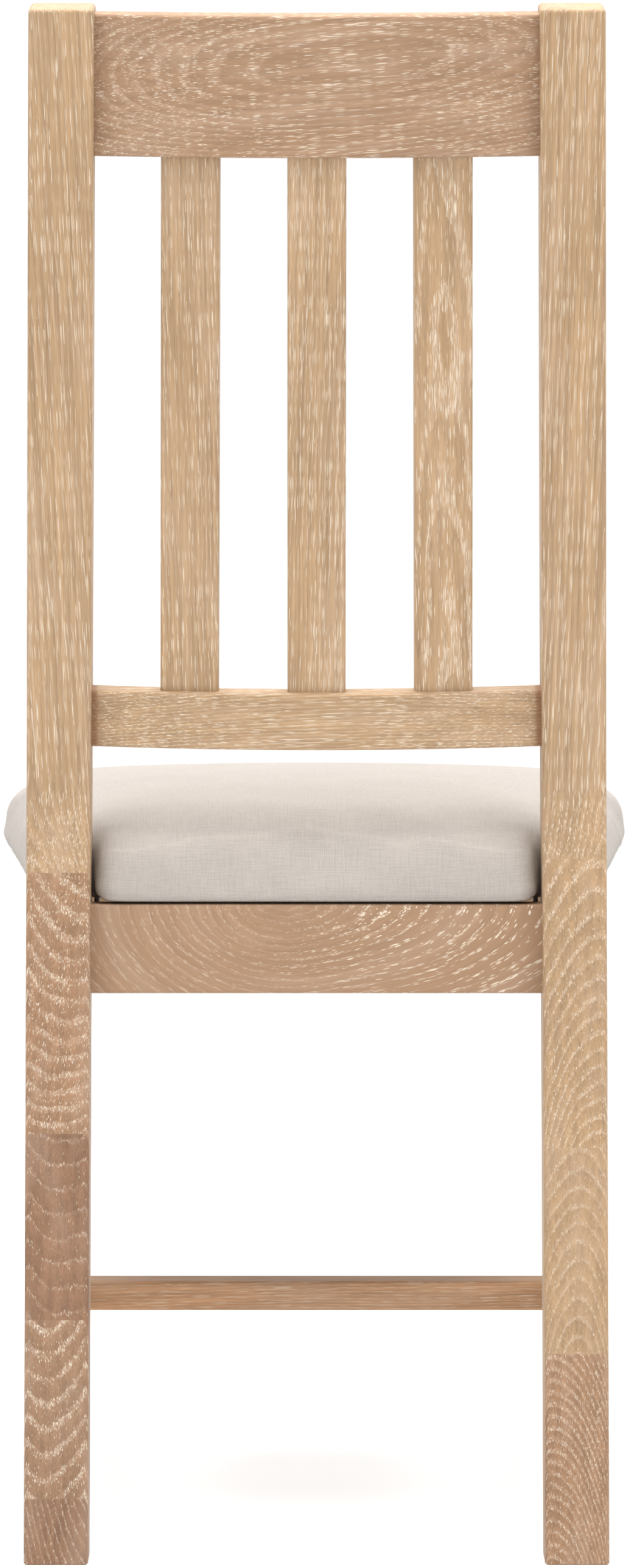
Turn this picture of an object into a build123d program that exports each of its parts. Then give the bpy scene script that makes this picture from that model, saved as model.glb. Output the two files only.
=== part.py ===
from build123d import *
import os
from math import asin, cos, degrees, radians, sin, sqrt, tan

# Slat-back dining chair in limed oak with a fixed upholstered seat pad.
# Millimetres, +Z up, the sitter faces -Y, "left" is the sitter's left (+X).
# While modelling, y = 0 is the rear face of the rear posts at the height of the knee, where the raked
# back meets the splayed leg. The last lines move everything so that the origin is at the middle of the
# footprint box, on the floor.

# Rear posts
KNEE_Z = 490.0
KNEE_RADIUS = 250.0
RAKE = 8.0
SPLAY = 4.0
POST_WIDTH = 42.0
POST_DEPTH_TOP = 40.0
POST_DEPTH_KNEE = 44.0
POST_DEPTH_FLOOR = 38.0
BACK_LENGTH = 526.2
POST_OUTER_KNEE = 190.0
POST_OUTER_FLOOR = 191.2
POST_LEAN_START_Z = 482.0
POST_LEAN = 0.0101
POST_EASE = 3.0
FOOT_BEVEL = 1.2

# Heights on the rear face where the glue lines between the leg's boards come out
GLUE_LINES = {"left": (450.0, 280.0, 159.0, 43.0), "right": (459.0, 271.0, 137.0)}

# Curved back rails, measured along the raked back from the knee
RAIL_THICKNESS = 19.0
RAIL_BOW = 12.5
RAIL_HALF_SPAN = 147.0
CREST_BOTTOM = 429.8
CREST_TOP = 521.9
LOWER_RAIL_BOTTOM = 40.6
LOWER_RAIL_TOP = 78.5
RAIL_EASE = 2.5
RAIL_TENON_LENGTH = 24.0
RAIL_TENON_THICKNESS = 9.0
TENON_SHOULDER = 6.0

# Back slats
SLAT_WIDTH = 38.0
SLAT_THICKNESS = 10.0
SLAT_RECESS = 5.5
SLAT_PITCH = 82.0
SLAT_LEAN = 0.28
SLAT_EASE = 2.0
SLAT_TENON_LENGTH = 12.0
SLAT_TENON_THICKNESS = 6.0
SLAT_TENON_WIDTH = 32.0

# Seat frame
APRON_TOP = 428.0
APRON_BOTTOM = 369.3
APRON_THICKNESS = 20.0
APRON_EASE = 2.0
APRON_SETBACK = 3.0
REAR_APRON_REAR = -9.0
FRONT_LEG_SIZE = 40.0
FRONT_LEG_FOOT = 32.0
TAPER_RADIUS = 400.0
FRONT_LEG_OUTER = 207.0
FRONT_LEG_FRONT = -430.0
DOWEL_RADIUS = 4.5
DOWEL_REACH = 18.0
DOWEL_HEIGHTS = (384.0, 413.0)

# Stretchers
STRETCHER_MIDDLE_Z = 138.6
SIDE_STRETCHER_WIDTH = 20.0
SIDE_STRETCHER_HEIGHT = 26.0
SIDE_STRETCHER_REAR_X = 169.5
SIDE_STRETCHER_FRONT_X = 188.0
CROSS_STRETCHER_Y = -203.5
CROSS_STRETCHER_WIDTH = 27.0
CROSS_STRETCHER_HEIGHT = 20.2
STRETCHER_EASE = 2.5
STRETCHER_TENON_LENGTH = 16.0
STRETCHER_TENON_THICKNESS = 8.0
CROSS_TENON_LENGTH = 10.0
CROSS_TENON_HEIGHT = 12.0

# Corner blocks and their screws
BLOCK_BOTTOM = 392.0
BLOCK_TOP = 420.0
BLOCK_REACH = 52.0
BLOCK_CLEARANCE = 0.5
SCREW_RADIUS = 2.0
SCREW_TIP_RADIUS = 0.3
SCREW_HEAD_RADIUS = 4.2
SCREW_HEAD_HEIGHT = 2.6
SCREW_HEAD_BEVEL = 0.8
SCREW_HEAD_GAP = 13.0
SCREW_STAGGER = 6.0
SCREW_INTO_APRON = 12.0
SCREW_INTO_BOARD = 8.0
BOARD_SCREW_SHARE = 0.3

# Seat pad: plywood board, foam and a fabric cover stapled under the board
PAD_REAR = -8.0
PAD_REAR_HALF_WIDTH = 144.0
PAD_NOTCH_Y = -48.0
PAD_SIDE_REAR_X = 187.0
PAD_SIDE_FRONT_X = 226.0
PAD_FRONT = -455.0
PAD_FRONT_RADIUS = 46.0
PAD_REAR_RADIUS = 10.0
PAD_NOTCH_RADIUS = 3.0
PAD_CROWN_Z = 495.0
PAD_CROWN_Y = -240.0
PAD_CROWN_RADIUS = 2600.0
PAD_TOP_ROUND = 8.0
PAD_BOTTOM_ROUND = 6.0
COVER_THICKNESS = 1.2
BOARD_THICKNESS = 12.0
BOARD_INSET = 6.0
BOARD_EASE = 3.0
COVER_FOLD = 58.0
SIDE_STAPLE_SHARES = (0.25, 0.4, 0.55, 0.7)
END_STAPLE_PITCH = 50.0
STAPLE_INSET = 41.0
FRONT_STAPLE_INSET = 51.0
STAPLE_CROWN = 10.0
STAPLE_WIRE = 0.8
STAPLE_DEPTH = 7.0

MIRROR = Plane.YZ
UPWARD = (Align.CENTER, Align.CENTER, Align.MIN)
LONG_EDGE = 100.0
BIG = 1200.0
nodes = {}


def box_between(low, high):
    """Box from its lowest corner to its highest corner."""
    size = [b - a for a, b in zip(low, high)]
    return Pos(*low) * Box(*size, align=(Align.MIN, Align.MIN, Align.MIN))


def rod(start, end, radius):
    """Round rod between two points."""
    axis = Vector(*end) - Vector(*start)
    return Plane(origin=start, z_dir=axis) * Cylinder(radius, axis.length, align=UPWARD)


def screw(head, direction, length):
    """Pan-head wood screw whose head's underside is at the point head, pointing along direction."""
    frame = Plane(origin=head, z_dir=direction)
    shank_length = length - 2 * SCREW_RADIUS
    shank = Cylinder(SCREW_RADIUS, shank_length, align=UPWARD)
    tip = Cone(SCREW_RADIUS, SCREW_TIP_RADIUS, 2 * SCREW_RADIUS, align=UPWARD)
    point = Pos(0, 0, shank_length) * tip
    cap = Pos(0, 0, -SCREW_HEAD_HEIGHT) * Cylinder(SCREW_HEAD_RADIUS, SCREW_HEAD_HEIGHT, align=UPWARD)
    cap = chamfer(cap.edges().group_by(Axis.Z)[0], SCREW_HEAD_BEVEL)
    return frame * (shank + point + cap)


def biggest(shape):
    """The largest solid of a cut shape."""
    return shape.solids().sort_by(SortBy.VOLUME)[-1]


def mirrored(shape):
    """The right-hand copy of a left-hand piece."""
    return mirror(shape, about=MIRROR)


# ---------------------------------------------------------------- rear posts
def rear_face_y(z):
    """y of a post's rear face at height z, with the knee taken as a sharp corner."""
    if z > KNEE_Z:
        return (z - KNEE_Z) * tan(radians(RAKE))
    return (KNEE_Z - z) * tan(radians(SPLAY))


def leg_front_y(z):
    """y of a rear leg's front face at height z, below the knee."""
    foot = rear_face_y(0) - POST_DEPTH_FLOOR
    return foot + (-POST_DEPTH_KNEE - foot) * z / KNEE_Z


def post_blank():
    """One whole left rear post: the raked back and the splayed leg, bent at the knee."""
    rake = radians(RAKE)
    top_rear = (BACK_LENGTH * sin(rake), KNEE_Z + BACK_LENGTH * cos(rake))
    top_front = (top_rear[0] - POST_DEPTH_TOP * cos(rake), top_rear[1] + POST_DEPTH_TOP * sin(rake))
    side = make_face(
        Polyline(
            (rear_face_y(0), 0),
            (0, KNEE_Z),
            top_rear,
            top_front,
            (-POST_DEPTH_KNEE, KNEE_Z),
            (leg_front_y(0), 0),
            close=True,
        )
    )
    knees = side.vertices().filter_by(lambda v: abs(v.Y - KNEE_Z) < 1)
    side = fillet(knees, KNEE_RADIUS)
    lean = (BIG - POST_LEAN_START_Z) * POST_LEAN
    front = make_face(
        Polyline(
            (POST_OUTER_FLOOR, 0),
            (POST_OUTER_KNEE, POST_LEAN_START_Z),
            (POST_OUTER_KNEE - lean, BIG),
            (POST_OUTER_KNEE - lean - POST_WIDTH, BIG),
            (POST_OUTER_KNEE - POST_WIDTH, POST_LEAN_START_Z),
            (POST_OUTER_FLOOR - POST_WIDTH, 0),
            close=True,
        )
    )
    from_side = extrude(Plane.YZ * side, BIG)
    from_front = extrude(Plane.XZ * front, BIG, both=True)
    post = from_side & from_front
    foot = post.edges().group_by(Axis.Z)[0]
    post = fillet(post.edges() - foot, POST_EASE)
    foot = post.edges().group_by(Axis.Z)[0]
    return chamfer(foot, FOOT_BEVEL)


def boards(post, glue_lines):
    """Cut a post along glue planes that run parallel to the raked back, front board first."""
    pieces = []
    rest = post
    for z in glue_lines:
        glue_plane = Pos(0, rear_face_y(z), z) * Rot(-RAKE, 0, 0)
        behind = glue_plane * Pos(0, BIG / 2, 0) * Box(BIG, BIG, 4 * BIG)
        pieces.append(biggest(rest - behind))
        rest = biggest(rest & behind)
    pieces.append(rest)
    return pieces


left_post = post_blank()
posts = {"left": left_post, "right": mirrored(left_post)}
both_posts = posts["left"] + posts["right"]
post_boards = {side: boards(posts[side], GLUE_LINES[side]) for side in posts}
post_cuts = []


# ---------------------------------------------------------------- back rails and slats
BACK = Pos(0, 0, KNEE_Z) * Rot(-RAKE, 0, 0)
BOW_RADIUS = (RAIL_HALF_SPAN**2 + RAIL_BOW**2) / (2 * RAIL_BOW)


def bow_y(x):
    """How far the bowed rail's rear face lies in front of its middle, at x (negative)."""
    return sqrt(BOW_RADIUS**2 - x**2) - BOW_RADIUS


def back_rail(bottom, top):
    """Rail bowed to the rear between the posts, with a tenon at each end that is also cut into the posts."""
    height = top - bottom
    ring = Cylinder(BOW_RADIUS, height, align=UPWARD)
    ring = ring - Cylinder(BOW_RADIUS - RAIL_THICKNESS, height, align=UPWARD)
    reach = RAIL_HALF_SPAN + POST_WIDTH / 2
    window = box_between((-reach, 0, 0), (reach, 2 * BOW_RADIUS, height))
    band = biggest(ring & window)
    long_edges = band.edges().filter_by(GeomType.CIRCLE)
    band = fillet(long_edges, RAIL_EASE)
    rail = BACK * Pos(0, -BOW_RADIUS, bottom) * band
    rail = biggest(rail - both_posts)
    middle_y = bow_y(RAIL_HALF_SPAN) - RAIL_THICKNESS / 2
    half = RAIL_TENON_THICKNESS / 2
    tenons = []
    for side in (1, -1):
        inner = RAIL_HALF_SPAN - TENON_SHOULDER
        outer = RAIL_HALF_SPAN + RAIL_TENON_LENGTH
        low = (min(side * inner, side * outer), middle_y - half, bottom + TENON_SHOULDER)
        high = (max(side * inner, side * outer), middle_y + half, top - TENON_SHOULDER)
        tenons.append(BACK * box_between(low, high))
    post_cuts.extend(tenons)
    return rail + tenons[0] + tenons[1]


def back_slat(place):
    """One slat standing between the rails, turned to follow their bow. place is -1, 0 or 1."""
    x = place * SLAT_PITCH
    bottom = LOWER_RAIL_TOP
    height = CREST_BOTTOM - LOWER_RAIL_TOP
    body = Box(SLAT_WIDTH, SLAT_THICKNESS, height)
    body = fillet(body.edges().filter_by(Axis.Z), SLAT_EASE)
    tenon = Box(SLAT_TENON_WIDTH, SLAT_TENON_THICKNESS, height + 2 * SLAT_TENON_LENGTH)
    y = bow_y(x) - SLAT_RECESS - SLAT_THICKNESS / 2
    turn = -place * degrees(asin(SLAT_PITCH / BOW_RADIUS))
    put = BACK * Pos(x, y, bottom + height / 2) * Rot(0, -place * SLAT_LEAN, 0) * Rot(0, 0, turn)
    return put * body, put * tenon


crest = back_rail(CREST_BOTTOM, CREST_TOP)
lower_rail = back_rail(LOWER_RAIL_BOTTOM, LOWER_RAIL_TOP)
for name, place in (("left", 1), ("centre", 0), ("right", -1)):
    body, tenon = back_slat(place)
    body = biggest(body - crest - lower_rail)
    nodes[f"back_slat_{name}"] = body + tenon
    crest = crest - tenon
    lower_rail = lower_rail - tenon
nodes["crest_rail"] = crest
nodes["lower_back_rail"] = lower_rail


# ---------------------------------------------------------------- seat frame
def front_leg_blank():
    """Left front leg: square at the apron, its two inner faces tapering to the foot."""
    low = (FRONT_LEG_OUTER - FRONT_LEG_SIZE, FRONT_LEG_FRONT)
    trim = FRONT_LEG_SIZE - FRONT_LEG_FOOT
    from_front = make_face(
        Polyline(
            (FRONT_LEG_OUTER, 0),
            (FRONT_LEG_OUTER, APRON_TOP),
            (low[0], APRON_TOP),
            (low[0], APRON_BOTTOM),
            (low[0] + trim, 0),
            close=True,
        )
    )
    kink = from_front.vertices().filter_by(lambda v: abs(v.Y - APRON_BOTTOM) < 1)
    from_front = fillet(kink, TAPER_RADIUS)
    from_side = make_face(
        Polyline(
            (low[1], 0),
            (low[1], APRON_TOP),
            (low[1] + FRONT_LEG_SIZE, APRON_TOP),
            (low[1] + FRONT_LEG_SIZE, APRON_BOTTOM),
            (low[1] + FRONT_LEG_FOOT, 0),
            close=True,
        )
    )
    kink = from_side.vertices().filter_by(lambda v: abs(v.Y - APRON_BOTTOM) < 1)
    from_side = fillet(kink, TAPER_RADIUS)
    leg = extrude(Plane.XZ * from_front, BIG, both=True) & extrude(Plane.YZ * from_side, BIG)
    upright = leg.edges().filter_by(lambda e: e.bounding_box().size.Z > 1)
    leg = fillet(upright, POST_EASE)
    return chamfer(leg.edges().group_by(Axis.Z)[0], FOOT_BEVEL)


front_leg = front_leg_blank()
front_legs = {"left": front_leg, "right": mirrored(front_leg)}
both_front_legs = front_legs["left"] + front_legs["right"]
leg_back_y = FRONT_LEG_FRONT + FRONT_LEG_SIZE
leg_inner_x = FRONT_LEG_OUTER - FRONT_LEG_SIZE
side_rear_x = POST_OUTER_KNEE - APRON_SETBACK
side_front_x = FRONT_LEG_OUTER - APRON_SETBACK
side_slope = (side_front_x - side_rear_x) / (-POST_DEPTH_KNEE - leg_back_y)


def side_apron_outer_x(y):
    """x of the left side apron's outer face at y."""
    return side_rear_x + (-POST_DEPTH_KNEE - y) * side_slope


def side_apron():
    """Left side apron, angled outwards to the front and cut to the leg and the sloping post."""
    rear = -POST_DEPTH_KNEE / 2
    front = leg_back_y
    outline = make_face(
        Polyline(
            (side_apron_outer_x(rear), rear),
            (side_apron_outer_x(front), front),
            (side_apron_outer_x(front) - APRON_THICKNESS, front),
            (side_apron_outer_x(rear) - APRON_THICKNESS, rear),
            close=True,
        )
    )
    board = Pos(0, 0, APRON_BOTTOM) * extrude(outline, APRON_TOP - APRON_BOTTOM)
    lengthways = board.edges().filter_by(lambda e: e.bounding_box().size.Y > LONG_EDGE)
    board = fillet(lengthways, APRON_EASE)
    return biggest(board - posts["left"])


def straight_apron(rear_y, half_length, stops):
    """Apron running across the chair, its ends cut to the pieces it meets."""
    low = (-half_length, rear_y - APRON_THICKNESS, APRON_BOTTOM)
    high = (half_length, rear_y, APRON_TOP)
    board = box_between(low, high)
    board = fillet(board.edges().filter_by(Axis.X), APRON_EASE)
    return (board - stops).solids().sort_by(lambda s: abs(s.center().X))[0]


side_aprons = {"left": side_apron()}
side_aprons["right"] = mirrored(side_aprons["left"])
front_apron_rear = FRONT_LEG_FRONT + APRON_SETBACK + APRON_THICKNESS
rear_apron = straight_apron(REAR_APRON_REAR, POST_OUTER_KNEE, both_posts)
front_apron = straight_apron(front_apron_rear, leg_inner_x, both_front_legs)

dowels = []
for z in DOWEL_HEIGHTS:
    for y, x in (
        (REAR_APRON_REAR - APRON_THICKNESS / 2, POST_OUTER_KNEE - POST_WIDTH),
        (front_apron_rear - APRON_THICKNESS / 2, leg_inner_x),
    ):
        dowels.append(rod((x - DOWEL_REACH, y, z), (x + DOWEL_REACH, y, z), DOWEL_RADIUS))
    for y in (leg_front_y(z), leg_back_y):
        x = side_apron_outer_x(y) - APRON_THICKNESS / 2
        dowels.append(rod((x, y - DOWEL_REACH, z), (x, y + DOWEL_REACH, z), DOWEL_RADIUS))
dowels += [mirrored(dowel) for dowel in dowels]
nodes["apron_dowels"] = Compound(dowels)
post_cuts.extend(dowels)
for side in side_aprons:
    nodes[f"side_apron_{side}"] = side_aprons[side] - dowels
rear_apron = rear_apron - dowels
front_apron = front_apron - dowels


# ---------------------------------------------------------------- stretchers
def side_stretcher():
    """Left side stretcher, its two tenons on their own, and the x of its inner face at the cross stretcher."""
    half = SIDE_STRETCHER_WIDTH / 2
    rear = leg_front_y(STRETCHER_MIDDLE_Z) + POST_DEPTH_FLOOR / 2
    front = leg_back_y - FRONT_LEG_SIZE / 2
    run = rear - front
    slope = (SIDE_STRETCHER_FRONT_X - SIDE_STRETCHER_REAR_X) / run
    outline = make_face(
        Polyline(
            (SIDE_STRETCHER_REAR_X + half, rear),
            (SIDE_STRETCHER_FRONT_X + half, front),
            (SIDE_STRETCHER_FRONT_X - half, front),
            (SIDE_STRETCHER_REAR_X - half, rear),
            close=True,
        )
    )
    bottom = STRETCHER_MIDDLE_Z - SIDE_STRETCHER_HEIGHT / 2
    bar = Pos(0, 0, bottom) * extrude(outline, SIDE_STRETCHER_HEIGHT)
    lengthways = bar.edges().filter_by(lambda e: e.bounding_box().size.Y > LONG_EDGE)
    bar = fillet(lengthways, STRETCHER_EASE)
    bar = biggest(bar - posts["left"] - front_legs["left"])
    thin = STRETCHER_TENON_THICKNESS / 2
    tall = SIDE_STRETCHER_HEIGHT / 2 - TENON_SHOULDER
    tenons = []
    for y in (leg_front_y(STRETCHER_MIDDLE_Z), leg_back_y - 1):
        x = SIDE_STRETCHER_REAR_X + (rear - y) * slope
        low = (x - thin, y - STRETCHER_TENON_LENGTH, STRETCHER_MIDDLE_Z - tall)
        high = (x + thin, y + STRETCHER_TENON_LENGTH, STRETCHER_MIDDLE_Z + tall)
        tenons.append(box_between(low, high))
    inner_x = SIDE_STRETCHER_REAR_X + (rear - CROSS_STRETCHER_Y) * slope - half
    return bar + tenons[0] + tenons[1], tenons, inner_x


side_bar, stretcher_tenons, bar_inner_x = side_stretcher()
side_bars = {"left": side_bar, "right": mirrored(side_bar)}
stretcher_tenons += [mirrored(tenon) for tenon in stretcher_tenons]
post_cuts.extend(stretcher_tenons)


def cross_bar(half_length, width, height):
    """Square bar across the chair at the cross stretcher's place."""
    low = (-half_length, CROSS_STRETCHER_Y - width / 2, STRETCHER_MIDDLE_Z - height / 2)
    high = (half_length, CROSS_STRETCHER_Y + width / 2, STRETCHER_MIDDLE_Z + height / 2)
    return box_between(low, high)


cross = cross_bar(bar_inner_x + SIDE_STRETCHER_WIDTH / 2, CROSS_STRETCHER_WIDTH, CROSS_STRETCHER_HEIGHT)
cross = fillet(cross.edges().filter_by(Axis.X), STRETCHER_EASE)
cross = cross - side_bars["left"] - side_bars["right"]
cross = cross.solids().sort_by(lambda s: abs(s.center().X))[0]
cross_tenon = cross_bar(bar_inner_x + CROSS_TENON_LENGTH, CROSS_STRETCHER_WIDTH / 2, CROSS_TENON_HEIGHT)
nodes["cross_stretcher"] = cross + cross_tenon
for side in side_bars:
    nodes[f"side_stretcher_{side}"] = side_bars[side] - cross_tenon


# ---------------------------------------------------------------- corner blocks and screws
def corner_block(inner_x, post_y, apron_y, forward):
    """Left glue block notched round a leg. forward is -1 at the rear corner and 1 at the front corner."""
    side_x = side_apron_outer_x(post_y) - APRON_THICKNESS
    far_y = post_y + forward * BLOCK_REACH
    outline = make_face(
        Polyline(
            (inner_x - BLOCK_REACH, apron_y),
            (inner_x, apron_y),
            (inner_x, post_y),
            (side_x, post_y),
            (side_apron_outer_x(far_y) - APRON_THICKNESS, far_y),
            close=True,
        )
    )
    return Pos(0, 0, BLOCK_BOTTOM) * extrude(outline, BLOCK_TOP - BLOCK_BOTTOM)


block_screws = []
board_screws = []
access_holes = []
block_middle_z = (BLOCK_BOTTOM + BLOCK_TOP) / 2
rear_inner_x = POST_OUTER_KNEE - POST_WIDTH - BLOCK_CLEARANCE
rear_apron_front = REAR_APRON_REAR - APRON_THICKNESS
corners = {
    "rear": (rear_inner_x, -POST_DEPTH_KNEE, rear_apron_front, -1),
    "front": (leg_inner_x, leg_back_y, front_apron_rear, 1),
}
corner_blocks = {}
for corner, (inner_x, post_y, apron_y, forward) in corners.items():
    corner_blocks[corner] = corner_block(inner_x, post_y, apron_y, forward) - posts["left"]
    across = inner_x - BLOCK_REACH / 3
    along = post_y + forward * BLOCK_REACH / 2
    side_face = side_apron_outer_x(along) - APRON_THICKNESS
    for head, way in (
        ((across, apron_y + forward * SCREW_HEAD_GAP, block_middle_z - SCREW_STAGGER), (0, -forward, 0)),
        ((side_face - SCREW_HEAD_GAP, along, block_middle_z + SCREW_STAGGER), (1, 0, 0)),
    ):
        block_screws.append(screw(head, way, SCREW_HEAD_GAP + SCREW_INTO_APRON))
        back = [h - w * BLOCK_REACH for h, w in zip(head, way)]
        access_holes.append(rod(back, head, SCREW_HEAD_RADIUS))
    beside_leg = (inner_x - SCREW_RADIUS, post_y + forward * BLOCK_REACH * BOARD_SCREW_SHARE)
    length = APRON_TOP + COVER_THICKNESS + SCREW_INTO_BOARD - BLOCK_BOTTOM
    board_screws.append(screw((*beside_leg, BLOCK_BOTTOM), (0, 0, 1), length))

block_screws += [mirrored(piece) for piece in block_screws]
board_screws += [mirrored(piece) for piece in board_screws]
access_holes += [mirrored(piece) for piece in access_holes]
nodes["corner_block_screws"] = Compound(block_screws)
nodes["seat_fixing_screws"] = Compound(board_screws)
for corner, block in corner_blocks.items():
    for side, piece in (("left", block), ("right", mirrored(block))):
        nodes[f"corner_block_{corner}_{side}"] = piece - access_holes - block_screws - board_screws
for side in side_aprons:
    nodes[f"side_apron_{side}"] = nodes[f"side_apron_{side}"] - block_screws
nodes["rear_apron"] = rear_apron - block_screws
nodes["front_apron"] = front_apron - block_screws


# ---------------------------------------------------------------- legs with their mortises
for side in posts:
    for number, board in enumerate(post_boards[side]):
        for cut in post_cuts:
            board = board - cut
        name = f"rear_post_{side}" if number == 0 else f"rear_leg_board_{side}_{number}"
        nodes[name] = biggest(board)
    leg = front_legs[side]
    for cut in dowels + stretcher_tenons:
        leg = leg - cut
    nodes[f"front_leg_{side}"] = leg


# ---------------------------------------------------------------- seat pad
def pad_outline():
    """Plan of the pad: a trapezoid, wider at the front, notched round the rear posts."""
    half = [
        (PAD_REAR_HALF_WIDTH, PAD_REAR),
        (PAD_REAR_HALF_WIDTH, PAD_NOTCH_Y),
        (PAD_SIDE_REAR_X, PAD_NOTCH_Y),
        (PAD_SIDE_FRONT_X, PAD_FRONT),
    ]
    other = [(-x, y) for x, y in reversed(half)]
    outline = make_face(Polyline(*half, *other, close=True))
    radii = (PAD_REAR_RADIUS, PAD_NOTCH_RADIUS, PAD_REAR_RADIUS, PAD_FRONT_RADIUS)
    for point, radius in zip(half, radii):
        ends = outline.vertices().filter_by(lambda v: abs(abs(v.X) - point[0]) + abs(v.Y - point[1]) < 0.01)
        outline = fillet(ends, radius)
    return outline


def pad_body(inset):
    """The crowned pad, drawn in by inset on every face."""
    bottom = APRON_TOP + inset
    plan = offset(pad_outline(), -inset) if inset else pad_outline()
    block = Pos(0, 0, bottom) * extrude(plan, PAD_CROWN_Z - bottom + 10)
    dome = Pos(0, PAD_CROWN_Y, PAD_CROWN_Z - PAD_CROWN_RADIUS) * Sphere(PAD_CROWN_RADIUS - inset)
    block = biggest(block & dome)
    rim = block.faces().sort_by(Axis.Z)[-1].outer_wire().edges()
    block = fillet(rim, PAD_TOP_ROUND - inset)
    rim = block.faces().sort_by(Axis.Z)[0].outer_wire().edges()
    return fillet(rim, PAD_BOTTOM_ROUND - inset)


def plywood_board():
    """The board inside the pad, its lower edges eased so that the cover can turn under it."""
    plan = offset(pad_outline(), -BOARD_INSET)
    board = Pos(0, 0, APRON_TOP + COVER_THICKNESS) * extrude(plan, BOARD_THICKNESS)
    return fillet(board.edges().group_by(Axis.Z)[0], BOARD_EASE)


def staple(x, y, along_x):
    """U-shaped staple driven up through the folded cover into the board."""
    wire = STAPLE_WIRE / 2
    reach = STAPLE_CROWN / 2
    top = APRON_TOP + STAPLE_DEPTH
    crown = box_between((-reach, -wire, APRON_TOP - STAPLE_WIRE), (reach, wire, APRON_TOP))
    shape = crown
    for end in (-reach, reach):
        shape = shape + box_between((end - wire, -wire, APRON_TOP - STAPLE_WIRE), (end + wire, wire, top))
    turn = 0 if along_x else 90
    return Pos(x, y, 0) * Rot(0, 0, turn) * shape


pad = pad_body(0)
core = pad_body(COVER_THICKNESS)
seat_board = plywood_board()
seat_foam = core - seat_board
window = extrude(offset(pad_outline(), -COVER_FOLD), APRON_TOP + COVER_THICKNESS)
seat_cover = pad - core - window

staples = []
side_run = PAD_NOTCH_Y - PAD_FRONT
side_lean = (PAD_SIDE_FRONT_X - PAD_SIDE_REAR_X) / side_run
for share in SIDE_STAPLE_SHARES:
    y = PAD_NOTCH_Y - share * side_run
    x = PAD_SIDE_REAR_X + share * side_run * side_lean - STAPLE_INSET
    staples += [staple(x, y, False), staple(-x, y, False)]
for place in range(-2, 3):
    x = place * END_STAPLE_PITCH
    staples.append(staple(x, PAD_FRONT + FRONT_STAPLE_INSET, True))
    staples.append(staple(x, PAD_REAR - STAPLE_INSET, True))
nodes["cover_staples"] = Compound(staples)
for piece in staples + board_screws:
    seat_board = seat_board - piece
    seat_cover = seat_cover - piece
nodes["seat_board"] = seat_board
nodes["seat_foam"] = seat_foam
nodes["seat_cover"] = seat_cover


# ---------------------------------------------------------------- write the parts
whole = Compound(list(nodes.values())).bounding_box()
to_origin = Pos(-(whole.min.X + whole.max.X) / 2, -(whole.min.Y + whole.max.Y) / 2, -whole.min.Z)
os.makedirs("parts", exist_ok=True)
for name, shape in nodes.items():
    export_step(to_origin * shape, f"parts/{name}.step")
print("nodes", len(nodes), "size", whole.size, "moved", to_origin.position)
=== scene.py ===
from math import atan2, cos, hypot, pi, radians, sin, tan

import bmesh
import bpy
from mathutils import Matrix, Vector


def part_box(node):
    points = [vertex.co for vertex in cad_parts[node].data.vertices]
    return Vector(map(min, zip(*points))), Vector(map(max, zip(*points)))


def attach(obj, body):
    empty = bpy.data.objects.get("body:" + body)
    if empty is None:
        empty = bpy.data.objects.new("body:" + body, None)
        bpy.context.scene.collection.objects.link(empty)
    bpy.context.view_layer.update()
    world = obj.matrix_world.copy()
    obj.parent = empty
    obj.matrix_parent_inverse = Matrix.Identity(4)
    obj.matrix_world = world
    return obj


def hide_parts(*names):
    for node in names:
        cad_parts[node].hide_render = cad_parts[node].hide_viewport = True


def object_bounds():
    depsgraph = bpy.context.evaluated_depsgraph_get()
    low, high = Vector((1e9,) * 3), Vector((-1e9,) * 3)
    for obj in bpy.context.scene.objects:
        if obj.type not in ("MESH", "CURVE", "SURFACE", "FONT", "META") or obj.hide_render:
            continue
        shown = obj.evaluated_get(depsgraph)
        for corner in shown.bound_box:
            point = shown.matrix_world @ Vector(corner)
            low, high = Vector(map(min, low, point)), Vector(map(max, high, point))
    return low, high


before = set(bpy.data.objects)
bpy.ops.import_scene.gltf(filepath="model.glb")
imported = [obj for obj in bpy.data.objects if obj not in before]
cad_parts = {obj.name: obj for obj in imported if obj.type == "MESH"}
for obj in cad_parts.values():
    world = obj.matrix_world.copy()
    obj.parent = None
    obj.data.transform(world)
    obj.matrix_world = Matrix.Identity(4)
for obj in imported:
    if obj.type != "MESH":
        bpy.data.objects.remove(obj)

cad_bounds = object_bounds()

# ---------------------------------------------------------------- places taken from the frame
FRONT = Vector((0, -1, 0))
UP = Vector((0, 0, 1))
ACROSS = Vector((1, 0, 0))
RAKE = radians(8)
RAKED_UP = Vector((0, sin(RAKE), cos(RAKE)))
RAKED_REAR = Vector((0, cos(RAKE), -sin(RAKE)))
FLOOR_Z = cad_bounds[0].z
APRON_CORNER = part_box("rear_apron")[1]
POST_FACE_X = APRON_CORNER.x
SEAT_BASE_Z = APRON_CORNER.z
APRON_SETBACK = 0.009
POST_REAR_Y = APRON_CORNER.y + APRON_SETBACK
POST_FRONT_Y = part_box("side_apron_left")[1].y


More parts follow.
